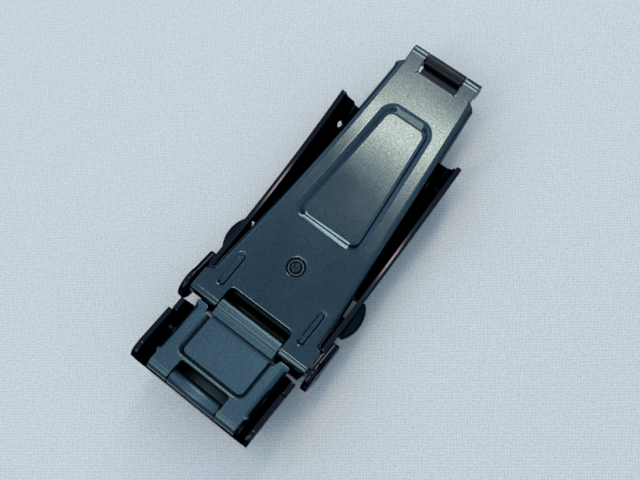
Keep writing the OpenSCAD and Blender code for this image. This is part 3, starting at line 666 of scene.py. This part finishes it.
def channelSurface(spec):
    profile = channelProfile(spec["half"], spec["depth"], spec["sideRound"], spec["crown"], spec["wall"],
                             spec["sideSteps"], spec["floorSteps"])

    def across(p):
        i = min(max(int(p), 0), len(profile) - 2)
        k = min(max(p, 0), len(profile) - 1) - i
        return [mix(a, b, k) for a, b in zip(profile[i], profile[i + 1])]

    def place(x, p):
        y, depth = across(p)
        return x, y, spec["centreZ"] - math.sqrt((spec["rimR"] + depth) ** 2 - (x - spec["midX"]) ** 2)
    return place, len(profile) - 1


def makeCover():
    spec = coverSpec
    place, columns = channelSurface(spec)

    def rule(s, j):
        z = place(spec["farX"] + 1, j)[2]
        return mix(spec["floorBack"], spec["farX"] + 0.1 * (6 - z), s), j

    def side(low, high, radius):
        return lambda x, p: roundBox(x, place(x, p)[2], low, high, radius)

    buttonX, buttonHalf, buttonUp = spec["button"]
    holeX, holeZ, holeR = spec["barHole"]
    endX, endY, endR = spec["corner"]
    piece = makeBlank("coverShell", int(33.5 / spec["rowStep"]), columns, rule)
    cutBlank(piece, [
        lambda x, p: -roundBox(x, place(x, p)[1], (-99, -endY), (endX, endY), endR),
        side((-99, spec["notchZ"]), (spec["wallX"], 99), 0.8),
        side((buttonX - buttonHalf, buttonZ - buttonUp), (buttonX + buttonHalf, buttonZ + buttonUp), 0.15),
        lambda x, p: math.hypot(x - holeX, place(x, p)[2] - holeZ) - holeR,
    ], near=0.2)
    shapeBlank(piece, place)
    thicken(piece, spec["wall"], spec["edge"], 3)
    finishPiece(piece, polishedCover, "cover", "cover_shell")
    print("cover bent")


def makeBox():
    spec = boxSpec
    place, columns = channelSurface(spec)
    bendX = spec["far"] + spec["lean"] + spec["endR"]
    bendZ = place(bendX, 0)[2] - spec["endR"]
    floorZ = place(spec["far"], columns / 2)[2]
    endX, endY, endR = spec["corner"]

    def rule(s, j):
        # the far end leans out to the floor below the walls' rounded ends, and is rounded seen from above
        y, z = place(bendX, j)[1:]
        rise = min(max(z - bendZ, 0), spec["endR"])
        lean = spec["lean"] * max(bendZ - z, 0) / (bendZ - floorZ)
        start = bendX - math.sqrt(spec["endR"] ** 2 - rise ** 2) - lean
        turn = max(abs(y) + spec["wall"] / 2 - (endY - endR), 0)
        return mix(max(start, endX + endR - math.sqrt(endR ** 2 - turn ** 2)), spec["near"], s), j

    stepZ = place(spec["near"], 0)[2] - spec["stepDown"]
    holeX, holeZ, holeR = spec["barHole"]
    piece = makeBlank("adjusterBox", int(9.7 / spec["rowStep"]), columns, rule)
    cutBlank(piece, [
        lambda x, p: roundBox(x, place(x, p)[2], (spec["stepX"], stepZ), (99, 99), 0.25),
        lambda x, p: math.hypot(x - holeX, place(x, p)[2] - holeZ) - holeR,
    ], near=0.17)
    shapeBlank(piece, place)
    thicken(piece, spec["wall"], spec["edge"], 3)
    finishPiece(piece, polishedCover, "adjuster_box", "adjuster_box")
    print("adjuster box bent")


# stud and ring, turned: outlines as half width and height, from the axis at the top round to the foot
studSpec = {
    "x": 9.1, "topZ": -0.2325, "steps": 72,
    "stud": ((0.0, -0.03), (0.14, -0.03), (0.24, 0.02), (0.36, 0.07), (0.48, 0.08), (0.6, 0.05),
             (0.69, -0.02), (0.73, -0.1), (0.75, -0.22), (0.85, -0.24), (0.85, -3.1), (0.81, -3.125),
             (0.6, -3.125), (0.6, -3.7), (1.06, -3.705), (1.1, -3.75), (1.1, -4.08), (0.6, -4.44),
             (0.5, -4.455), (0.0, -4.455)),
    "ring": ((0.86, -0.14), (0.86, -0.13), (1.0, -0.13), (1.04, -0.04), (1.09, 0.05), (1.14, 0.08),
             (1.19, 0.06), (1.235, -0.02), (1.25, -0.14)),
}


def makeTurned(node, name, rows, closed):
    spec = studSpec
    x, z = spec["x"] + layout["originX"], spec["topZ"] + layout["originZ"]
    outline = bpy.data.meshes.new(name)
    count = len(rows)
    edges = [(i, (i + 1) % count) for i in range(count if closed else count - 1)]
    outline.from_pydata([(r * mm, 0, h * mm) for r, h in rows], edges, [])
    piece = bpy.data.objects.new(name, outline)
    bpy.context.scene.collection.objects.link(piece)
    applyModifier(piece, "SCREW", axis="Z", angle=2 * math.pi, steps=spec["steps"],
                  render_steps=spec["steps"], use_merge_vertices=True, merge_threshold=1e-6)
    bpy.ops.object.mode_set(mode="EDIT")
    bpy.ops.mesh.select_all(action="SELECT")
    bpy.ops.mesh.remove_doubles(threshold=1e-6)
    bpy.ops.mesh.normals_make_consistent(inside=False)
    bpy.ops.transform.translate(value=(x * mm, 0, z * mm))
    bpy.ops.object.mode_set(mode="OBJECT")
    smooth(piece, 50)
    finishPiece(piece, matteStud, "inner_blade", node)


buttonLow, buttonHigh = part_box("left_button")
buttonZ = (buttonLow.z + buttonHigh.z) / 2 / mm - layout["originZ"]
makeInnerBlade()
makeMiddleBlade()
makeExtensionPlate()
makeCover()
makeBox()
makeTurned("lock_stud", "lockStud", studSpec["stud"], False)
makeTurned("stud_ring", "studRing", studSpec["ring"], True)
print("stud and ring turned")


# small pieces, from the solids, with their edges rounded
plain = {
    "box_tongue": ("boxTongue", mattePlate, 0.1, "matte_black_steel"),
    "left_ear": ("leftEar", polishedCover, 0.14, "polished_black_steel"),
    "right_ear": ("rightEar", polishedCover, 0.14, "polished_black_steel"),
    "left_button": ("leftButton", satinButton, 0.25, "black_button_steel"),
    "right_button": ("rightButton", satinButton, 0.25, "black_button_steel"),
    "cover_hinge_pin": ("coverHingePin", bareBridge, 0.08, "bare_steel"),
    "fold_pin": ("foldPin", bareBridge, 0.08, "bare_steel"),
    "link_pin": ("linkPin", bareBridge, 0.08, "bare_steel"),
    "extension_pin": ("extensionPin", bareBridge, 0.08, "bare_steel"),
    "latch_bridge": ("latchBridge", bareBridge, 0.08, "bare_steel"),
    "left_catch": ("leftCatch", bareBridge, 0.06, "bare_steel"),
    "right_catch": ("rightCatch", bareBridge, 0.06, "bare_steel"),
}
for node, (name, material, width, slotName) in plain.items():
    finishPiece(roundedCopy(node, name, width), material, bodyOf[node], node)


# return springs, which the real clasp squeezes towards their catch plates as the buttons go in: each is
# copied from its solid and given a mesh of its own
springSpec = {"left": ("left_press", 1), "right": ("right_press", -1)}
for hand, (joint, sign) in springSpec.items():
    node = hand + "_spring"
    piece = copyOfNode(node, hand + "Spring")
    finishPiece(piece, springWire, bodyOf[node], node)
    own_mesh(piece)
print("pieces ready")


# floor, lights and camera
studio = {
    "floorSize": 0.8, "cameraAt": (0.31, -22.10, 102.12), "lens": 47.84,
    "right": (0.6035, -0.7922, -0.0901), "down": (-0.7873, -0.5742, -0.2248),
    "forward": (0.1264, 0.2066, -0.9702),
    "roomTones": ("2b3946", "d8e8f6"), "roomHeights": (0.25, 0.85), "roomStrength": 1.02,
}
# place and size in metres, power in watts, colour, and the point it looks at, or None for straight down
lamps = {
    "ceilingLight": ((0.138, 0.215, 1.2), (0.05, 0.25), 1.22, "ffcaa4", None),
    "windowLight": ((-0.02, 0.35, 0.30), (0.50, 0.30), 0.3, "e6f0ff", (0, 0, 0.004)),
    "nearStrip": ((-0.19, 0.05, 0.22), (0.045, 0.22), 0.14, "ffe0ba", (0, 0, 0.004)),
    "farStrip": ((0.25, 0.06, 0.20), (0.035, 0.25), 0.3, "ffe6cc", (0, 0, 0.004)),
    "sideStrip": ((0.0, -0.27, 0.13), (0.30, 0.012), 0.04, "ffffff", (0, 0, 0.004)),
}


def addFloor():
    deselect()
    bpy.ops.mesh.primitive_plane_add(size=studio["floorSize"], location=(0, 0, -0.00002))
    floor = bpy.context.object
    floor.name = "floorCloth"
    floor.data.materials.append(paleCloth("wovenPaleCloth"))


def addSoftBox(name, location, size, power, colour, aim):
    light = bpy.data.lights.new(name, "AREA")
    light.color = linear(colour)[:3]
    light.shape = "RECTANGLE"
    light.size, light.size_y = size
    light.energy = power
    lamp = bpy.data.objects.new(name, light)
    bpy.context.scene.collection.objects.link(lamp)
    lamp.location = location
    lamp.rotation_mode = "QUATERNION"
    if aim:
        lamp.rotation_quaternion = (Vector(aim) - Vector(location)).to_track_quat("-Z", "Y")


def addRoom():
    # a pale ceiling over darker walls
    world = bpy.data.worlds.new("paleRoom")
    world.use_nodes = True
    tree = world.node_tree
    background = tree.nodes["Background"]
    direction = addNode(tree, "ShaderNodeTexCoord")
    height = addNode(tree, "ShaderNodeSeparateXYZ", inputs={0: direction.outputs["Generated"]})
    tree.links.new(toneRamp(tree, height.outputs["Z"], studio["roomTones"], studio["roomHeights"]),
                   background.inputs[0])
    background.inputs[1].default_value = studio["roomStrength"]
    bpy.context.scene.world = world


def addCamera():
    camera = bpy.data.cameras.new("photoCamera")
    camera.lens = studio["lens"]
    camera.sensor_width = 36.0
    camera.clip_start = 0.005
    lens = bpy.data.objects.new("photoCamera", camera)
    bpy.context.scene.collection.objects.link(lens)
    right, down, forward = (Vector(studio[k]).normalized() for k in ("right", "down", "forward"))
    turn = Matrix((right, -down, -forward)).transposed().to_4x4()
    place = Vector(studio["cameraAt"]) + Vector((layout["originX"], 0, layout["originZ"]))
    lens.matrix_world = Matrix.Translation(place * mm) @ turn
    bpy.context.scene.camera = lens


addFloor()
for name, settings in lamps.items():
    addSoftBox(name, *settings)
addRoom()
bpy.context.scene.view_settings.view_transform = "Standard"
addCamera()
print("studio ready")
